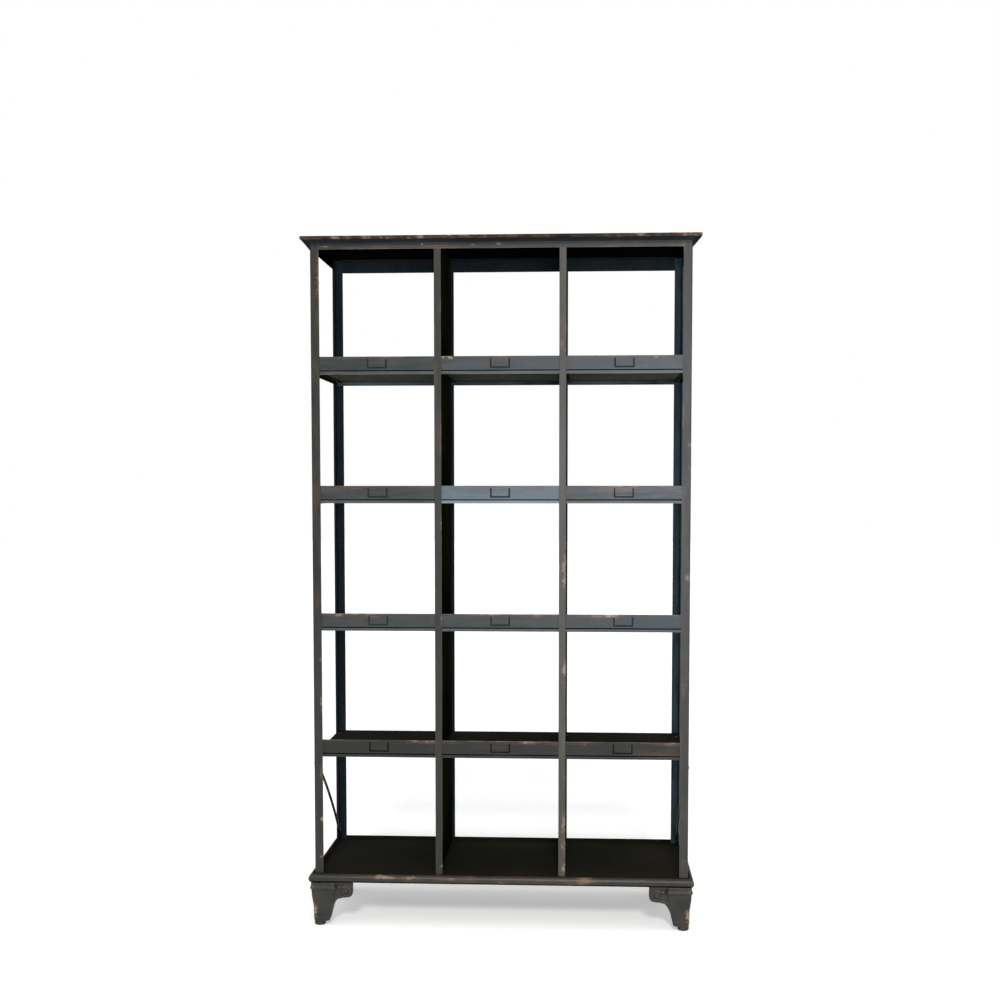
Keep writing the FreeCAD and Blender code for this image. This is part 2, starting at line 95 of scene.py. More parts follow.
def addCamera(plan):
    data = bpy.data.cameras.new("camera")
    data.sensor_width = plan["sensor"]
    data.lens = plan["lens"]
    data.shift_x, data.shift_y = plan["shift"]
    camera = bpy.data.objects.new("camera", data)
    bpy.context.scene.collection.objects.link(camera)
    camera.location = plan["place"]
    camera.rotation_euler = (math.radians(90 - plan["tiltDown"]), 0, math.radians(plan["turnLeft"]))
    bpy.context.scene.camera = camera


addCamera(cameraPlan)
print("camera set")

# Soft studio light: a surround that is bright overhead and dim at the horizon and behind the object,
# a soft sun from the front, a broad cool light beside the camera, and a pale floor. Angles in degrees
lightPlan = {
    "zenith": 0.92,
    "horizon": 0.22,
    "rearShare": 0.35,
    "backdrop": 1.0,
    "surroundTint": "#ffffff",
    "floor": "#ffffff",
    "floorRough": 0.9,
    "floorGlow": 0.36,
    "floorReach": 30.0,
    "sun": {"height": 33, "fromRight": 2, "spread": 9, "power": 1.35, "tint": "#fffdf8"},
    "areas": {
        "frontLight": {
            "place": (0.85, -5.0, 1.5), "aim": (0.1, 0.0, 1.1), "size": (1.5, 1.2),
            "power": 67, "tint": "#eaf2ff",
        },
    },
}


def addLights(plan):
    for name, area in plan["areas"].items():
        data = bpy.data.lights.new(name, "AREA")
        data.shape = "RECTANGLE"
        data.size, data.size_y = area["size"]
        data.energy = area["power"]
        data.color = hexColour(area["tint"])[:3]
        light = bpy.data.objects.new(name, data)
        bpy.context.scene.collection.objects.link(light)
        light.location = area["place"]
        aim = Vector(area["aim"]) - light.location
        light.rotation_euler = aim.to_track_quat("-Z", "Y").to_euler()
    sun = plan["sun"]
    data = bpy.data.lights.new("softSun", "SUN")
    data.energy = sun["power"]
    data.angle = math.radians(sun["spread"])
    data.color = hexColour(sun["tint"])[:3]
    light = bpy.data.objects.new("softSun", data)
    bpy.context.scene.collection.objects.link(light)
    light.rotation_euler = (math.radians(90 - sun["height"]), 0, math.radians(sun["fromRight"]))


# The camera sees a plain white backdrop, and everything else the soft surround
def addSurround(plan):
    world = bpy.data.worlds.new("paleSurround")
    world.use_nodes = True
    bpy.context.scene.world = world
    tree = world.node_tree
    tree.nodes.clear()
    way = addNode(tree, "ShaderNodeTexCoord").outputs["Generated"]
    sides = addNode(tree, "ShaderNodeSeparateXYZ", {}, {0: way}).outputs
    above = addNode(
        tree, "ShaderNodeMapRange", {"To Min": plan["horizon"], "To Max": plan["zenith"]},
        {"Value": sides["Z"]},
    ).outputs[0]
    behind = addNode(
        tree, "ShaderNodeMapRange", {"To Min": 1.0, "To Max": plan["rearShare"]}, {"Value": sides["Y"]}
    ).outputs[0]
    glow = addNode(tree, "ShaderNodeMath", {"operation": "MULTIPLY"}, {0: above, 1: behind}).outputs[0]
    room = addNode(
        tree, "ShaderNodeBackground", {"Color": hexColour(plan["surroundTint"])}, {"Strength": glow}
    )
    drop = addNode(tree, "ShaderNodeBackground", {"Color": white, "Strength": plan["backdrop"]})
    rays = addNode(tree, "ShaderNodeLightPath")
    both = addNode(tree, "ShaderNodeMixShader", {}, {
        0: rays.outputs["Is Camera Ray"], 1: room.outputs[0], 2: drop.outputs[0],
    })
    addNode(tree, "ShaderNodeOutputWorld", {}, {"Surface": both.outputs[0]})


def addFloor(plan):
    reach = plan["floorReach"]
    corners = [(-reach, -reach, 0), (reach, -reach, 0), (reach, reach, 0), (-reach, reach, 0)]
    mesh = bpy.data.meshes.new("floor")
    mesh.from_pydata(corners, [], [(0, 1, 2, 3)])
    floor = bpy.data.objects.new("floor", mesh)
    bpy.context.scene.collection.objects.link(floor)
    paper = bpy.data.materials.new("mattePaperFloor")
    paper.use_nodes = True
    shader = paper.node_tree.nodes["Principled BSDF"]
    shader.inputs["Base Color"].default_value = hexColour(plan["floor"])
    shader.inputs["Roughness"].default_value = plan["floorRough"]
    shader.inputs["Specular IOR Level"].default_value = 0.0
    shader.inputs["Emission Color"].default_value = white
    shader.inputs["Emission Strength"].default_value = plan["floorGlow"]
    mesh.materials.append(paper)


addLights(lightPlan)
addSurround(lightPlan)
addFloor(lightPlan)
bpy.context.scene.view_settings.view_transform = "Standard"
print("studio set")

# What time has done to every painted piece: bare steel shows brown, tan and dull silver
wornSteel = {"rust": "#46342a", "tan": "#77634f", "steel": "#877c6d", "dust": "#4d4a40"}
# Outline of a rubbed spot: how far it strays and how far apart its teeth are, in millimetres,
# and the share of its radius that is rubbed hardest
spotPlan = {"stray": 30, "teeth": 11, "core": 0.2}
noiseMiddle = (0.5, 0.5, 0.5)
wholeLength = 20000    # longer than the object, for a rub that runs right along it


# Adds hard-rubbed places with ragged outlines to a wear value. A spot is x, z, half its width,
# half its height and how hard it was rubbed, in millimetres from the middle of the floor,
# and depth is the middle and half the extent of all the spots from front to back
def rubSpots(tree, place, rubbed, spots, depth=(0, wholeLength)):
    stray = spotPlan["stray"] * mm
    teeth = addNode(
        tree, "ShaderNodeTexNoise", {"Scale": perMetre(spotPlan["teeth"]), "Detail": 4.0}, {"Vector": place}
    ).outputs["Color"]
    eitherWay = addNode(
        tree, "ShaderNodeVectorMath", {"operation": "SUBTRACT", 1: noiseMiddle}, {0: teeth}
    ).outputs[0]
    place = addNode(
        tree, "ShaderNodeVectorMath", {"operation": "MULTIPLY_ADD", 1: (stray, 0, stray / 2)},
        {0: eitherWay, 2: place},
    ).outputs[0]
    for x, z, halfWidth, halfHeight, strength in spots:
        centre = (x * mm, depth[0] * mm, z * mm)
        span = (perMetre(halfWidth), perMetre(depth[1]), perMetre(halfHeight))
        offset = addNode(
            tree, "ShaderNodeVectorMath", {"operation": "SUBTRACT", 1: centre}, {0: place}
        ).outputs[0]
        scaled = addNode(
            tree, "ShaderNodeVectorMath", {"operation": "MULTIPLY", 1: span}, {0: offset}
        ).outputs[0]
        far = addNode(tree, "ShaderNodeVectorMath", {"operation": "LENGTH"}, {0: scaled}).outputs["Value"]
        near = addNode(
            tree, "ShaderNodeMapRange", {"From Min": 1.0, "From Max": spotPlan["core"], "To Max": strength},
            {"Value": far},
        ).outputs[0]
        rubbed = addNode(tree, "ShaderNodeMath", {"operation": "ADD"}, {0: rubbed, 1: near}).outputs[0]
    return rubbed


# How every coat of enamel wears. A pair is where a change begins and where it is complete
coatPlan = {
    "tone": (0.75, 1.25),         # sum of two noises, from the darker to the lighter paint
    "edgeTurn": (0.99, 0.86),     # cosine of a rounded normal's turn, from flat to a full edge
    "edgeSamples": 6,
    "bared": 0.14,                # wear from the first chip to bare steel
    "browned": (-0.22, 0.06),     # wear from what the paint holds, as it browns
    "brownMost": 0.75,
    "rustStop": 0.38, "tanStop": 0.52, "steelStop": 0.68,
    "bareShade": 1.7,             # size of the shades of bare steel, in chips
    "facingUp": (0.6, 0.95),
    "streaky": (0.3, 0.7), "glossSpread": (-0.06, 0.08), "wornDulls": 0.15,
    "waveStrength": 0.5, "brushStrength": 0.35, "chipStrength": 0.6,
    "brushDepth": 0.4, "chipDepth": 0.3,
}


# Old satin enamel brushed or sprayed on sheet steel: dark and slightly uneven in colour,
# rubbed through along the edges and in patches, with dust lying on the level faces
def wornEnamel(name, plan, coat=coatPlan):
    material = bpy.data.materials.new(name)
    material.use_nodes = True
    tree = material.node_tree
    tree.nodes.clear()
    place = addNode(tree, "ShaderNodeTexCoord").outputs["Object"]
    surface = addNode(tree, "ShaderNodeNewGeometry")
    along = addNode(tree, "ShaderNodeMapping", {"Scale": plan["grain"]}, {"Vector": place}).outputs[0]
    cloud = addNode(
        tree, "ShaderNodeTexNoise", {"Scale": perMetre(plan["cloud"]), "Detail": 3.0}, {"Vector": place}
    ).outputs[0]
    streaks = addNode(
        tree, "ShaderNodeTexNoise", {"Scale": perMetre(plan["streak"]), "Detail": 4.0, "Roughness": 0.6},
        {"Vector": along},
    ).outputs[0]
    chips = addNode(
        tree, "ShaderNodeTexNoise", {"Scale": perMetre(plan["chip"]), "Detail": 5.0, "Roughness": 0.6},
        {"Vector": along},
    ).outputs[0]
    regions = addNode(
        tree, "ShaderNodeTexNoise", {"Scale": perMetre(plan["patch"]), "Detail": 2.0}, {"Vector": place}
    ).outputs[0]

    # Paint, from its darker to its lighter tone
    tone = addNode(tree, "ShaderNodeMath", {"operation": "ADD"}, {0: cloud, 1: streaks}).outputs[0]
    toneShare = addNode(
        tree, "ShaderNodeMapRange", {"From Min": coat["tone"][0], "From Max": coat["tone"][1]},
        {"Value": tone},
    ).outputs[0]
    paint = addNode(
        tree, "ShaderNodeMix",
        {"data_type": "RGBA", firstColour: hexColour(plan["dark"]), secondColour: hexColour(plan["light"])},
        {0: toneShare},
    ).outputs[mixedColour]

    # Edges, where a rounded normal turns away from the face
    rounded = addNode(
        tree, "ShaderNodeBevel", {"samples": coat["edgeSamples"], "Radius": plan["edge"] * mm}
    ).outputs[0]
    turn = addNode(
        tree, "ShaderNodeVectorMath", {"operation": "DOT_PRODUCT"},
        {0: rounded, 1: surface.outputs["Normal"]},
    ).outputs["Value"]
    edge = addNode(
        tree, "ShaderNodeMapRange", {"From Min": coat["edgeTurn"][0], "From Max": coat["edgeTurn"][1]},
        {"Value": turn},
    ).outputs[0]

    # Rubbing: chips gather along edges, in worn regions and at the places in the plan's spots
    rubbed = addNode(
        tree, "ShaderNodeMath", {"operation": "MULTIPLY_ADD", 1: plan["edgeWear"]}, {0: edge, 2: chips}
    ).outputs[0]
    rubbed = addNode(
        tree, "ShaderNodeMath", {"operation": "MULTIPLY_ADD", 1: plan["patchWear"]}, {0: regions, 2: rubbed}
    ).outputs[0]
    rubbed = rubSpots(tree, place, rubbed, plan["spots"])
    worn = addNode(
        tree, "ShaderNodeMapRange", {"From Min": plan["holds"], "From Max": plan["holds"] + coat["bared"]},
        {"Value": rubbed},
    ).outputs[0]

    # Bare steel, from brown to dull silver
    bareShade = addNode(
        tree, "ShaderNodeTexNoise", {"Scale": perMetre(plan["chip"] * coat["bareShade"]), "Detail": 3.0},
        {"Vector": place},
    ).outputs[0]
    bare = addNode(tree, "ShaderNodeValToRGB", {}, {"Fac": bareShade})
    ramp = bare.color_ramp
    ramp.elements[0].position = coat["rustStop"]
    ramp.elements[0].color = hexColour(wornSteel["rust"])
    ramp.elements[1].position = coat["steelStop"]
    ramp.elements[1].color = hexColour(wornSteel["steel"])
    ramp.elements.new(coat["tanStop"]).color = hexColour(wornSteel["tan"])

    # Dust on what faces up, and paint browned along its edges before it wears through
    facing = addNode(tree, "ShaderNodeSeparateXYZ", {}, {0: surface.outputs["Normal"]}).outputs["Z"]
    upward = addNode(
        tree, "ShaderNodeMapRange",
        {"From Min": coat["facingUp"][0], "From Max": coat["facingUp"][1], "To Max": plan["dust"]},
        {"Value": facing},
    ).outputs[0]
    dustShare = addNode(tree, "ShaderNodeMath", {"operation": "MULTIPLY"}, {0: upward, 1: cloud}).outputs[0]
    dusty = addNode(
        tree, "ShaderNodeMix", {"data_type": "RGBA", secondColour: hexColour(wornSteel["dust"])},
        {0: dustShare, firstColour: paint},
    ).outputs[mixedColour]
    brownFrom, brownTo = (plan["holds"] + wear for wear in coat["browned"])
    brownShare = addNode(
        tree, "ShaderNodeMapRange",
        {"From Min": brownFrom, "From Max": brownTo, "To Max": coat["brownMost"]}, {"Value": rubbed},
    ).outputs[0]
    browned = addNode(
        tree, "ShaderNodeMix", {"data_type": "RGBA", secondColour: hexColour(wornSteel["rust"])},
        {0: brownShare, firstColour: dusty},
    ).outputs[mixedColour]
    colour = addNode(
        tree, "ShaderNodeMix", {"data_type": "RGBA"},
        {0: worn, firstColour: browned, secondColour: bare.outputs[0]},
    ).outputs[mixedColour]

    # Gloss: satin paint, duller where it is rubbed
    smoothest, roughest = (plan["rough"] + change for change in coat["glossSpread"])
    gloss = addNode(
        tree, "ShaderNodeMapRange",
        {
            "From Min": coat["streaky"][0], "From Max": coat["streaky"][1],
            "To Min": smoothest, "To Max": roughest,
        },
        {"Value": streaks},
    ).outputs[0]
    wornGloss = addNode(
        tree, "ShaderNodeMath", {"operation": "MULTIPLY_ADD", 1: coat["wornDulls"]}, {0: worn, 2: gloss}
    ).outputs[0]

    # Relief: the sheet is not quite flat, the paint has brush marks, and chips lie a coat lower
    sheet = addNode(
        tree, "ShaderNodeTexNoise", {"Scale": perMetre(plan["wave"]), "Detail": 1.0}, {"Vector": place}
    ).outputs[0]
    waves = addNode(
        tree, "ShaderNodeBump", {"Strength": coat["waveStrength"], "Distance": plan["waveDepth"] * mm},
        {"Height": sheet},
    ).outputs[0]
    marks = addNode(
        tree, "ShaderNodeBump", {"Strength": coat["brushStrength"], "Distance": coat["brushDepth"] * mm},
        {"Height": streaks, "Normal": waves},
    ).outputs[0]
    relief = addNode(
        tree, "ShaderNodeBump",
        {"Strength": coat["chipStrength"], "Distance": coat["chipDepth"] * mm, "invert": True},
        {"Height": worn, "Normal": marks},
    ).outputs[0]
    shader = addNode(
        tree, "ShaderNodeBsdfPrincipled", {"Specular IOR Level": plan["specular"]},
        {"Base Color": colour, "Roughness": wornGloss, "Normal": relief},
    ).outputs[0]
    addNode(tree, "ShaderNodeOutputMaterial", {}, {"Surface": shader})
    return material


# Sizes in millimetres: cloud, streak, chip, patch and wave are the spacings of the marks,
# edge is how far in from an edge the paint is rubbed, grain stretches the marks along X, Y and Z,
# and holds is the wear that the paint stands before it is gone
enamelPlan = {
    "cloud": 240, "streak": 14, "chip": 22, "patch": 150, "wave": 260, "waveDepth": 1.2,
    "grain": (1, 1, 0.18), "edge": 5.0, "edgeWear": 0.2, "patchWear": 0.8, "holds": 1.2, "spots": [],
    "dust": 0.5, "rough": 0.42, "specular": 0.5, "dark": "#171610", "light": "#2a2820",
}
# Copper-brown rubs on the left post, the right post, the right divider's bar and the left one's
postSpots = [
    (-524, 1900, 7, 110, 0.36), (-525, 1770, 6, 60, 0.3), (-525, 788, 6, 13, 0.45),
    (-523, 660, 5, 55, 0.36), (-526, 455, 7, 38, 0.38), (-525, 316, 6, 14, 0.42), (-530, 204, 9, 13, 0.6),
    (540, 1410, 7, 16, 0.34), (541, 1343, 5, 20, 0.3), (538, 1029, 8, 26, 0.45), (541, 950, 6, 38, 0.36),
    (530, 700, 10, 50, 0.3), (535, 205, 7, 16, 0.3),
    (186, 1050, 9, 125, 0.34), (186, 755, 9, 52, 0.36), (188, 615, 5, 58, 0.3), (186, 440, 8, 46, 0.33),
    (185, 275, 9, 120, 0.34), (184, 180, 7, 20, 0.5), (178, 1690, 10, 40, 0.25),
    (-171, 1185, 4, 28, 0.4), (-171, 904, 4, 22, 0.36), (-173, 182, 4, 8, 0.45),
]
# Lips are browned along the top, where hands rub, and chipped in a few places
lipTops = [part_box("shelf_tray_%d_left" % number)[1][2] / mm for number in (1, 2, 3, 4)]
traySpots = [(0, top, wholeLength, 11, 0.2) for top in lipTops] + [
    (-163, lipTops[0] - 2, 6, 5, 0.5), (-142, lipTops[0] - 3, 10, 5, 0.6),
    (436, lipTops[0] - 3, 24, 5, 0.35), (-470, lipTops[2] - 6, 20, 8, 0.25),
    (90, lipTops[3] - 5, 40, 7, 0.25), (330, lipTops[2] - 4, 30, 6, 0.25),
]
# The frieze is chipped under the cap
friezeSpots = [
    (0, 1972, wholeLength, 8, 0.1), (-502, 1978, 16, 6, 0.45), (-221, 1982, 5, 4, 0.6),
    (-3, 1982, 10, 5, 0.55), (-78, 1978, 16, 5, 0.4),
]
# The front edge of the base is rubbed by feet
baseSpots = [
    (-335, 150, 125, 8, 0.22), (-353, 152, 15, 4, 0.22), (-262, 150, 20, 4, 0.16), (409, 151, 16, 5, 0.22),
    (316, 149, 22, 5, 0.18), (-150, 148, 60, 8, 0.15), (120, 149, 80, 7, 0.15),
]
trayPlan = dict(
    enamelPlan, grain=(0.15, 1, 1), dark="#1d2122", light="#2c3233", rough=0.36, spots=traySpots,
)
stripPlan = dict(trayPlan, edgeWear=0.05, spots=[])
mattePlan = dict(enamelPlan, rough=0.85, specular=0.04, edgeWear=0.0, holds=1.5, dust=0.25)
backPlan = dict(mattePlan, rough=0.6, specular=0.1, dust=0.0)
finishes = {
    # Frame: warm dark grey satin; painted shade on the left post and bar, painted light on the right bar
    "frameEnamel": dict(enamelPlan, spots=postSpots),
    "frameEnamelDim": dict(enamelPlan, spots=postSpots, dark="#100e08", light="#1f1d14", specular=0.44),
    "frameEnamelPale": dict(enamelPlan, spots=postSpots, dark="#27261e", light="#3f3d33"),
    "friezeEnamel": dict(
        enamelPlan, grain=(0.15, 1, 1), edgeWear=0.15, dark="#141714", light="#1d1f1b", spots=friezeSpots,
    ),
    # Trays and the bars under them: blue-grey, brushed lengthwise, and glossier than the frame
    # Copies for single trays carry painted shade, deepest on the lowest level, and one a painted highlight
    "trayEnamel": trayPlan,
    "trayEnamelDim": dict(trayPlan, dark="#191e1e", light="#272d2d"),
    "trayEnamelPale": dict(trayPlan, dark="#3c464c", light="#505c64"),
    "trayEnamelDeep": dict(trayPlan, dark="#0f110d", light="#191b16", specular=0.36),
    "stripEnamel": dict(stripPlan, dark="#272e2d", light="#3c4543"),
    "stripEnamelPale": dict(stripPlan, dark="#56606a", light="#6a757e"),
    "stripEnamelDeep": dict(stripPlan, dark="#12140f", light="#1c1e18", specular=0.36),
    # Inside and underneath: dull; painted shade near black on the ceiling, in the folds and under the
    # nosing
    "floorEnamel": dict(mattePlan, dark="#15150f", light="#1d1c16", dust=0.15),
    "undersideEnamel": dict(mattePlan, dark="#1c1a0c", light="#2e2a16", dust=0.0),
    "ceilingEnamel": dict(mattePlan, dark="#020202", light="#060605", dust=0.0, specular=0.0),
    "foldGrime": dict(mattePlan, dark="#070a0b", light="#0d1214", dust=0.0),
    "nosingGrime": dict(mattePlan, dark="#12120d", light="#1b1b16", dust=0.0),
    "panelEnamel": dict(mattePlan, dark="#0d1107", light="#1e2114", dust=0.0, streak=60, specular=0.0),
    # Seen through the bays: cold painted shade, less on the right post, and painted light on back bar
    # fronts
    "backEnamel": dict(backPlan, dark="#081014", light="#17252c", rough=0.5, specular=0.15),
    "backPostEnamel": dict(backPlan, dark="#141d20", light="#243036"),
    "backPostEnamelPale": dict(backPlan, dark="#28343a", light="#3d5059"),
    "backBarEnamel": dict(mattePlan, grain=(0.15, 1, 1), dark="#28313a", light="#56646f", dust=0.0),
    # Cap and base: chipped to brown and silver along their edges
    "capEnamel": dict(
        enamelPlan, grain=(0.6, 1, 1), dark="#0f0f09", light="#1b1a12", chip=15, holds=0.97,
        rough=0.6, specular=0.12,
    ),
    # Cove under the cap and its brackets: painted shade, dark navy
    "corniceEnamel": dict(mattePlan, grain=(0.2, 1, 1), dark="#12171a", light="#1e262a", specular=0.2),
    "baseEnamel": dict(
        enamelPlan, grain=(0.3, 1, 1), dark="#181813", light="#252520", chip=30, holds=1.04,
        specular=0.35, spots=baseSpots,
    ),
    # Small parts: holder frames carry painted shadow, deepest on the lowest level; dark dull paint on rods,
    # and rivets painted over with the frame
    "holderEnamel": dict(mattePlan, grain=(1, 1, 1), dark="#161b1c", light="#20272a", chip=8, specular=0.2),
    "holderEnamelDeep": dict(mattePlan, grain=(1, 1, 1), dark="#10110e", light="#191a16", chip=8),
    "rodEnamel": dict(enamelPlan, dark="#050504", light="#0b0b09", edgeWear=0.0, specular=0.2),
    "rivetSteel": dict(enamelPlan, grain=(1, 1, 1), dark="#1c1c18", light="#292823", chip=6),
}
materials = {name: wornEnamel(name, plan) for name, plan in finishes.items()}
print("finishes made:", len(materials))

finishOfSlot = {
    "frame_paint": "frameEnamel", "shelf_paint": "trayEnamel", "panel_paint": "panelEnamel",
    "cap_paint": "capEnamel", "base_paint": "baseEnamel", "holder_paint": "holderEnamel",
    "foot_iron": "rodEnamel", "rod_steel": "rodEnamel", "fastener_steel": "rivetSteel",
}
# Pieces whose paint differs from the rest of their slot, mostly by painted light or painted shade
finishOfPiece = {
    "front_cornice": "corniceEnamel", "left_cap_bracket": "corniceEnamel",
    "right_cap_bracket": "corniceEnamel", "front_top_rail": "friezeEnamel",
    "front_left_post": "frameEnamelDim", "left_divider_front_bar": "frameEnamelDim",
    "right_divider_front_bar": "frameEnamelPale",
    "back_left_post": "backPostEnamel", "back_right_post": "backPostEnamelPale",
    "shelf_tray_1_left": "trayEnamelDim", "shelf_tray_2_left": "trayEnamelDim",
    "shelf_tray_2_middle": "trayEnamelPale", "shelf_tray_2_right": "trayEnamelDim",
    "shelf_tray_3_left": "trayEnamelDim", "shelf_tray_3_middle": "trayEnamelDim",
    "shelf_tray_3_right": "trayEnamelDim", "shelf_tray_4_left": "trayEnamelDeep",
    "shelf_tray_4_middle": "trayEnamelDeep", "shelf_tray_4_right": "trayEnamelDeep",
    "label_holders_4": "holderEnamelDeep", "base_back_bar": "floorEnamel",
}
# How far a face turns before it counts as level, as part of a fold or as the underside of the nosing
level = 0.97
fold = 0.12
nosing = 0.48
# Far enough from the middle to tell a face that looks outward from one that looks inward
slightly = 0.12 * mm
# How far behind the front of a tray its floor begins, and behind a label holder's front its pocket
floorBehind = 2.2 * mm
pocketBehind = 1.2 * mm
# The bar under a tray takes the same painted highlight or painted shade as its tray
stripOfTray = {"trayEnamelPale": "stripEnamelPale", "trayEnamelDeep": "stripEnamelDeep"}


# Tray paint at the same level and bay, with its painted light or shade, for its bar and its holder's pocket
def trayPaint(name, x):
    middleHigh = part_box("shelf_tray_1_middle")[1][0]
    bay = "left" if x < -middleHigh else "right" if x > middleHigh else "middle"
    return finishOfPiece.get("shelf_tray_%s_%s" % (name[-1], bay), "trayEnamel")


# Which finish a face takes: trays and pans dull inside and under, painted shade in folds, worn only in
# front
def faceFinish(name, finish, face, front):
    up = face.normal.z
    back = face.normal.y
    outward = face.normal.x * face.center.x
    behind = face.center.y - front
    if name.startswith("shelf_tray"):
        if up < -level:
            return "undersideEnamel"
        # Painted shade on the folds under a tray
        if up < -fold:
            return "foldGrime"
        if up > level and behind > floorBehind:
            return "floorEnamel"
    if name == "base_plate" and abs(up) > level:
        return "floorEnamel" if up > 0 else "undersideEnamel"
    # Painted shade under the nosing
    if name == "base_plate" and up < -nosing:
        return "nosingGrime"
    # Faces looking back or outward keep the frame paint; a back member's other faces take painted shade
    if name.startswith(("back_", "base_back")) and (back > level or outward > slightly):
        return "frameEnamel"
    if name.startswith("front_shelf"):
        # Painted shade in the fold above the bar
        if up > fold:
            return "foldGrime"
        return stripOfTray.get(trayPaint(name, face.center.x), "stripEnamel")
    # Painted shade on back bars, divider back bar fronts and back posts' side legs
    if name.startswith("back_shelf") and back > -level:
        return "backEnamel"
    if name.endswith("divider_back_bar") and back < -level:
        return "backEnamel"
    if finish.startswith("backPost") and abs(face.normal.x) > level:
        return "backEnamel"
    # Painted shade on the ceiling and on the top rails' inner faces
    if name == "top_plate" and up < -level:
        return "ceilingEnamel"
    if name in ("left_top_rail", "right_top_rail") and (up < -level or outward < -slightly):
        return "ceilingEnamel"
    if name.startswith("label_holders") and back < -level and behind > pocketBehind:
        return trayPaint(name, face.center.x)
    return finish


def dressNode(name, slot):
    finish = finishOfPiece.get(name, finishOfSlot[slot])
    # Back pieces take painted shade, and back shelf bars painted light on their fronts
    if name.startswith("back_") and finish == "frameEnamel":
        finish = "backEnamel"
    if name.startswith("back_shelf"):
        finish = "backBarEnamel"
    mesh = nodes[name].data
    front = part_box(name)[0][1]
    picked = [faceFinish(name, finish, face, front) for face in mesh.polygons]
    used = sorted(set(picked))
    mesh.materials.clear()
    for other in used:
        mesh.materials.append(materials[other])
    mesh.polygons.foreach_set("material_index", [used.index(other) for other in picked])


for row in frame["record"]["subparts"]:
    dressNode(row["node"], row["material_slot"])

# Cast iron corner foot, in millimetres from the outer corner of the base and the floor:
# a moulded collar, a tapering leg with soft rings, a round toe, and a scroll wing each way
footPlan = {
    "voxel": 1.6,
    "smoothing": 3,
    "softness": 0.5,
    # Height, outer face, inner face and corner rounding, from the base down
    "leg": [
        (130, 5, 77, 6), (123, 5, 77, 6), (119, 4.7, 77.5, 6), (117, 3.3, 79, 7), (114, 2.5, 80, 7),
        (111, 3.1, 79, 7), (109, 5.7, 76, 7), (100, 6.1, 75.5, 8), (88, 6.8, 76, 9), (76, 8.4, 75, 10),
        (64, 10.2, 71.5, 10), (53, 11, 68, 10), (44, 11.3, 65.4, 10), (40, 10.8, 65.3, 10),
        (36, 11.6, 63.4, 10), (31, 11.9, 62.2, 10), (27, 11, 62.2, 10), (23, 12, 60.3, 10),
        (19, 12.2, 59.6, 10), (13, 12.6, 58.5, 9),
    ],
    # Height and radius, round its own centre
    "toe": [(15, 14), (12, 16.2), (8, 17), (4, 16.8), (1.5, 15.6), (0, 13)],
    "toeCentre": 29,
    "toeSides": 32,
    # Outline of a wing, as places along the face and heights
    "wing": [
        (66, 130), (129.5, 130), (130, 104), (128.5, 95), (124, 88.5), (117, 85.5), (98, 83.5), (84, 80),
        (76, 71), (70, 58), (64, 50),
    ],
    "wingFace": 10.5,
    "wingBack": 18.0,
    # A bead wound in from its outer to its inner radius, from a start angle in degrees
    "scroll": {
        "eye": (108, 103), "outer": 16.5, "inner": 5.0, "start": 150, "turns": 1.45, "steps": 40,
        "thick": (3.6, 2.6),
    },
    "eyeRadius": 5.2,
    "rim": [(74, 83), (84, 85), (98, 87.5), (112, 89.5)],
    "rimThick": (3.4, 2.6),
    # Bud beside the collar: place along the face, height, half its width and half its height
    "bud": (89, 117, 7.5, 6.0),
    "budProud": 5.5,
    # Knobs low on the leg: place along the face, height, radius
    "knobs": [(34, 33, 4.5), (48, 37, 4.0), (46, 25, 4.5), (30, 22, 4.2)],
    "knobFace": 11.8,
    "knobProud": 2.0,
}


# Points round a level cut through the leg
def roundedSquare(low, high, rounding, perCorner=6):
    corners = [(high, high, 0), (low, high, 90), (low, low, 180), (high, low, 270)]
    points = []
    for u, v, start in corners:
        centreU = u - rounding if u == high else u + rounding
        centreV = v - rounding if v == high else v + rounding
        for i in range(perCorner):
            turn = math.radians(start + 90 * i / (perCorner - 1))
            points.append((centreU + rounding * math.cos(turn), centreV + rounding * math.sin(turn)))
    return points


# Joins rings of points into one closed skin
def skinRings(form, rings):
    made = [[form.verts.new(point) for point in ring] for ring in rings]
    count = len(made[0])
    for upper, lower in zip(made, made[1:]):
        for i in range(count):
            form.faces.new((upper[i], upper[(i + 1) % count], lower[(i + 1) % count], lower[i]))
    form.faces.new(made[0])
    form.faces.new(list(reversed(made[-1])))


# A bead along a path drawn on a wing's face, tapering from one thickness to another
def layBead(form, path, thick, depth, across, sides=8):
    rings = []
    for i, (along, height) in enumerate(path):
        before = Vector(path[max(i - 1, 0)])
        after = Vector(path[min(i + 1, len(path) - 1)])
        way = (after - before).normalized()
        radius = thick[0] + (thick[1] - thick[0]) * i / (len(path) - 1)
        ring = []
        for k in range(sides):
            turn = 2 * math.pi * k / sides
            aside = radius * math.cos(turn)
            point = (along - way.y * aside, depth + radius * math.sin(turn), height + way.x * aside)
            ring.append(across(*point))
        rings.append(ring)
    skinRings(form, rings)


def addDome(form, centre, radii):
    shape = Matrix.Translation(centre) @ Matrix.Diagonal((*radii, 1))
    bmesh.ops.create_uvsphere(form, u_segments=16, v_segments=10, radius=1, matrix=shape)


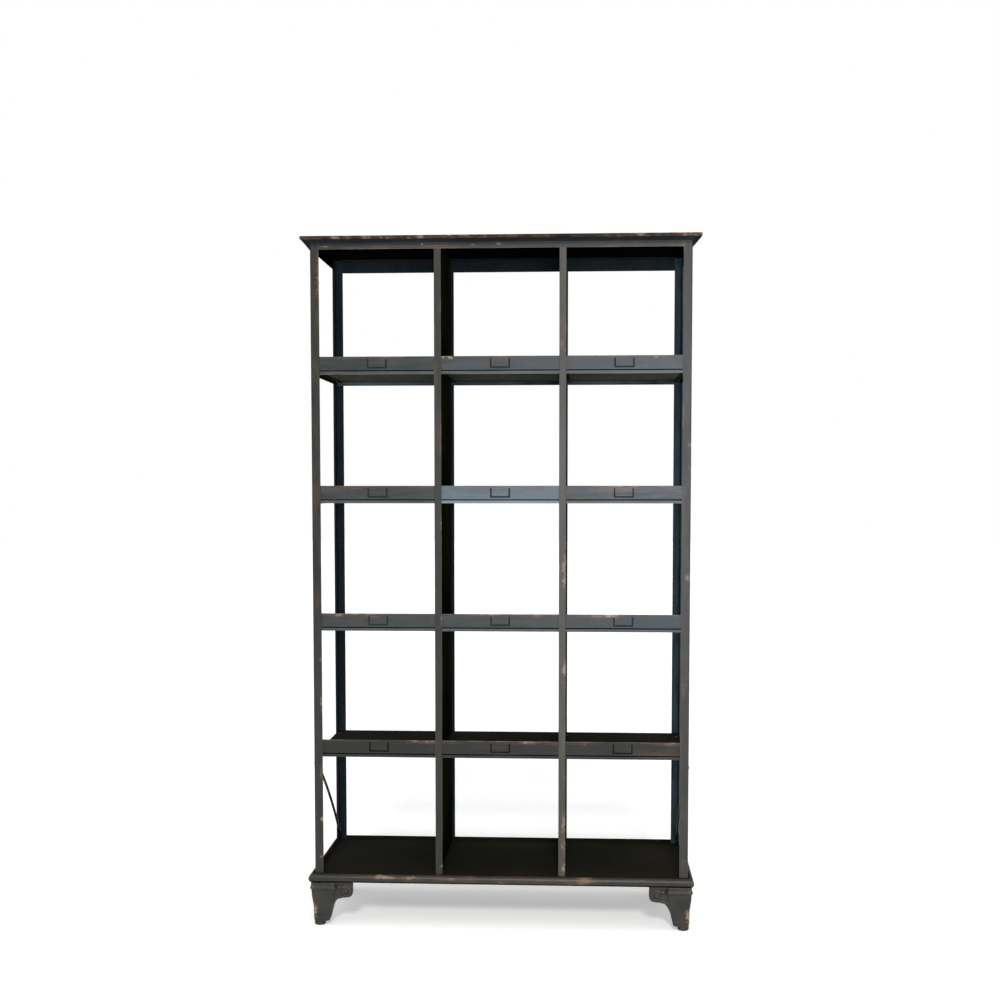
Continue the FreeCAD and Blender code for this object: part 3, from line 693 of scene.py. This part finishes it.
# One foot with both wings, as a single cast skin
def castFoot(plan):
    form = bmesh.new()
    skinRings(form, [
        [(u, v, z) for u, v in roundedSquare(outer, inner, rounding)]
        for z, outer, inner, rounding in plan["leg"]
    ])
    sides = plan["toeSides"]
    turns = [2 * math.pi * i / sides for i in range(sides)]
    middle = plan["toeCentre"]
    skinRings(form, [
        [(middle + radius * math.cos(t), middle + radius * math.sin(t), z) for t in turns]
        for z, radius in plan["toe"]
    ])
    scroll = plan["scroll"]
    eyeAlong, eyeHeight = scroll["eye"]
    spiral = []
    for i in range(scroll["steps"] + 1):
        share = i / scroll["steps"]
        turn = math.radians(scroll["start"] - 360 * scroll["turns"] * share)
        radius = scroll["outer"] + (scroll["inner"] - scroll["outer"]) * share
        spiral.append((eyeAlong + radius * math.cos(turn), eyeHeight + radius * math.sin(turn)))
    face = plan["wingFace"]
    ways = [lambda u, v, z: (u, v, z), lambda u, v, z: (v, u, z)]
    for across in ways:
        skinRings(form, [[across(u, v, z) for u, z in plan["wing"]] for v in (face, plan["wingBack"])])
        layBead(form, spiral, scroll["thick"], face, across)
        layBead(form, plan["rim"], plan["rimThick"], face, across)
        eye = plan["eyeRadius"]
        addDome(form, across(eyeAlong, face, eyeHeight), (eye, eye, eye))
        along, height, wide, tall = plan["bud"]
        addDome(form, across(along, face, height), across(wide, plan["budProud"], 0)[:2] + (tall,))
        for along, height, radius in plan["knobs"]:
            centre = across(along, plan["knobFace"] + radius - plan["knobProud"], height)
            addDome(form, centre, (radius, radius, radius))
    bmesh.ops.recalc_face_normals(form, faces=form.faces)
    bmesh.ops.scale(form, vec=(mm, mm, mm), verts=form.verts)
    mesh = bpy.data.meshes.new("castFootBlank")
    form.to_mesh(mesh)
    form.free()
    blank = bpy.data.objects.new("castFootBlank", mesh)
    bpy.context.scene.collection.objects.link(blank)
    remesh = blank.modifiers.new("oneSkin", "REMESH")
    remesh.mode = "VOXEL"
    remesh.voxel_size = plan["voxel"] * mm
    soften = blank.modifiers.new("castSoftness", "SMOOTH")
    soften.factor = plan["softness"]
    soften.iterations = plan["smoothing"]
    bpy.context.view_layer.update()
    cast = bpy.data.meshes.new_from_object(blank.evaluated_get(bpy.context.evaluated_depsgraph_get()))
    bpy.data.objects.remove(blank)
    bpy.data.meshes.remove(mesh)
    return cast


# Painted cast iron: a grainy sand-cast skin under dark paint, brown where corners and beads were rubbed,
# with grime and painted shade in the hollows. A pair is where a change begins and where it is complete
ironPlan = {
    "dark": "#1a1a15", "light": "#292822", "hollow": "#070805", "worn": "#5c4a3c", "bare": "#7d6a58",
    "cloud": 60, "chip": 12, "sand": 1.6, "shelter": 14, "rough": 0.5, "specular": 0.4,
    "tone": (0.35, 0.65), "glossSpread": (-0.08, 0.15),
    "sheltered": (0.95, 0.62), "shelterSamples": 8,     # openness, where grime and painted shade settle
    "dipped": (0.497, 0.472), "ridged": (0.505, 0.54),  # pointiness of hollows and of ridges
    "ridgeWear": 0.34, "browned": (0.68, 1.0), "brownMost": 0.8, "bared": (1.05, 1.3),
    "sandStrength": 0.5, "sandDepth": 0.5, "lumpStrength": 0.4, "lumpDepth": 1.0,
    # Rubbed places, the same on every foot: outer corner, collar end, inner face, bud and toe
    "spots": [
        (547, 46, 12, 26, 1.3), (552, 121, 9, 5, 0.4), (489, 53, 6, 20, 0.6), (474, 117, 8, 6, 0.15),
        (534, 6, 10, 5, 0.25),
    ],
    # Middle and half the extent of those places from front to back
    "spotDepth": (198, 26),
}


def paintedCastIron(plan):
    material = bpy.data.materials.new("paintedCastIron")
    material.use_nodes = True
    tree = material.node_tree
    tree.nodes.clear()
    place = addNode(tree, "ShaderNodeTexCoord").outputs["Object"]
    surface = addNode(tree, "ShaderNodeNewGeometry")
    cloud = addNode(
        tree, "ShaderNodeTexNoise", {"Scale": perMetre(plan["cloud"]), "Detail": 3.0}, {"Vector": place}
    ).outputs[0]
    chips = addNode(
        tree, "ShaderNodeTexNoise", {"Scale": perMetre(plan["chip"]), "Detail": 5.0}, {"Vector": place}
    ).outputs[0]
    sand = addNode(
        tree, "ShaderNodeTexNoise", {"Scale": perMetre(plan["sand"]), "Detail": 2.0}, {"Vector": place}
    ).outputs[0]
    share = addNode(
        tree, "ShaderNodeMapRange", {"From Min": plan["tone"][0], "From Max": plan["tone"][1]},
        {"Value": cloud},
    ).outputs[0]
    paint = addNode(
        tree, "ShaderNodeMix",
        {"data_type": "RGBA", firstColour: hexColour(plan["dark"]), secondColour: hexColour(plan["light"])},
        {0: share},
    ).outputs[mixedColour]

    # Grime and painted shade in sheltered places and in dips
    point = surface.outputs["Pointiness"]
    openness = addNode(
        tree, "ShaderNodeAmbientOcclusion",
        {"samples": plan["shelterSamples"], "Distance": plan["shelter"] * mm},
    ).outputs["AO"]
    shelter = addNode(
        tree, "ShaderNodeMapRange", {"From Min": plan["sheltered"][0], "From Max": plan["sheltered"][1]},
        {"Value": openness},
    ).outputs[0]
    dip = addNode(
        tree, "ShaderNodeMapRange", {"From Min": plan["dipped"][0], "From Max": plan["dipped"][1]},
        {"Value": point},
    ).outputs[0]
    hollow = addNode(tree, "ShaderNodeMath", {"operation": "MAXIMUM"}, {0: shelter, 1: dip}).outputs[0]
    grimedAndShaded = addNode(
        tree, "ShaderNodeMix", {"data_type": "RGBA", secondColour: hexColour(plan["hollow"])},
        {0: hollow, firstColour: paint},
    ).outputs[mixedColour]

    # Rubbing on ridges and at the places in the plan's spots, the same on the left and the right
    ridge = addNode(
        tree, "ShaderNodeMapRange",
        {"From Min": plan["ridged"][0], "From Max": plan["ridged"][1], "To Max": plan["ridgeWear"]},
        {"Value": point},
    ).outputs[0]
    eitherSide = addNode(tree, "ShaderNodeVectorMath", {"operation": "ABSOLUTE"}, {0: place}).outputs[0]
    rubbed = addNode(tree, "ShaderNodeMath", {"operation": "ADD"}, {0: ridge, 1: chips}).outputs[0]
    rubbed = rubSpots(tree, eitherSide, rubbed, plan["spots"], plan["spotDepth"])
    browned = addNode(
        tree, "ShaderNodeMapRange",
        {"From Min": plan["browned"][0], "From Max": plan["browned"][1], "To Max": plan["brownMost"]},
        {"Value": rubbed},
    ).outputs[0]
    brown = addNode(
        tree, "ShaderNodeMix", {"data_type": "RGBA", secondColour: hexColour(plan["worn"])},
        {0: browned, firstColour: grimedAndShaded},
    ).outputs[mixedColour]
    bared = addNode(
        tree, "ShaderNodeMapRange", {"From Min": plan["bared"][0], "From Max": plan["bared"][1]},
        {"Value": rubbed},
    ).outputs[0]
    colour = addNode(
        tree, "ShaderNodeMix", {"data_type": "RGBA", secondColour: hexColour(plan["bare"])},
        {0: bared, firstColour: brown},
    ).outputs[mixedColour]

    # Uneven gloss, the grain of the sand and the lumps of old paint
    smoothest, roughest = (plan["rough"] + change for change in plan["glossSpread"])
    gloss = addNode(
        tree, "ShaderNodeMapRange", {"To Min": smoothest, "To Max": roughest}, {"Value": chips}
    ).outputs[0]
    grain = addNode(
        tree, "ShaderNodeBump", {"Strength": plan["sandStrength"], "Distance": plan["sandDepth"] * mm},
        {"Height": sand},
    ).outputs[0]
    lumps = addNode(
        tree, "ShaderNodeBump", {"Strength": plan["lumpStrength"], "Distance": plan["lumpDepth"] * mm},
        {"Height": chips, "Normal": grain},
    ).outputs[0]
    shader = addNode(
        tree, "ShaderNodeBsdfPrincipled", {"Specular IOR Level": plan["specular"]},
        {"Base Color": colour, "Roughness": gloss, "Normal": lumps},
    ).outputs[0]
    addNode(tree, "ShaderNodeOutputMaterial", {}, {"Surface": shader})
    return material


# The same casting at all four corners, turned to face outward
def addFeet(plan):
    cast = castFoot(plan)
    iron = paintedCastIron(ironPlan)
    baseLow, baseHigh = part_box("base_plate")
    for depth in ("front", "back"):
        for side in ("left", "right"):
            node = depth + "_" + side + "_foot"
            wayX = 1 if side == "left" else -1
            wayY = 1 if depth == "front" else -1
            cornerX = baseLow[0] if side == "left" else baseHigh[0]
            cornerY = baseLow[1] if depth == "front" else baseHigh[1]
            mesh = cast.copy()
            mesh.transform(Matrix.Translation((cornerX, cornerY, 0)) @ Matrix.Diagonal((wayX, wayY, 1, 1)))
            if wayX * wayY < 0:
                mesh.flip_normals()
            mesh.materials.append(iron)
            mesh.shade_smooth()
            foot = bpy.data.objects.new("cast_" + node, mesh)
            bpy.context.scene.collection.objects.link(foot)
            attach(foot, "root")
            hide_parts(node)
    bpy.data.meshes.remove(cast)


addFeet(footPlan)
print("feet cast")
